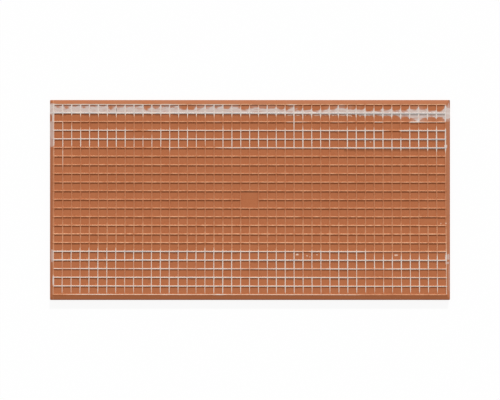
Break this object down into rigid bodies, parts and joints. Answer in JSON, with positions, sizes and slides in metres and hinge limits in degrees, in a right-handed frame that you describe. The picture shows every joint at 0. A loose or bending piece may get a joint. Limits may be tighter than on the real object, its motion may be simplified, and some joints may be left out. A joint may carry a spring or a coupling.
{
  "type": "ceramic wall tile",
  "caption": "Oblong fired-clay wall tile, lying glazed face down, with a lattice of keying ribs and a bevelled border on its back and streaks of white glaze.",
  "frame": {"origin": "centre of the glazed face, which lies on the floor", "axes": "+X along the tile's length, +Y across its width, +Z out of the ribbed back"},
  "size_m": [0.5, 0.25, 0.0085],
  "materials": {
    "fired_clay": "matt fired red clay, with a film of white glaze on some of the ribs and a plain white glazed face"
  },
  "bodies": {
    "root": {"tile_body": "fired_clay"}
  },
  "joints": []
}
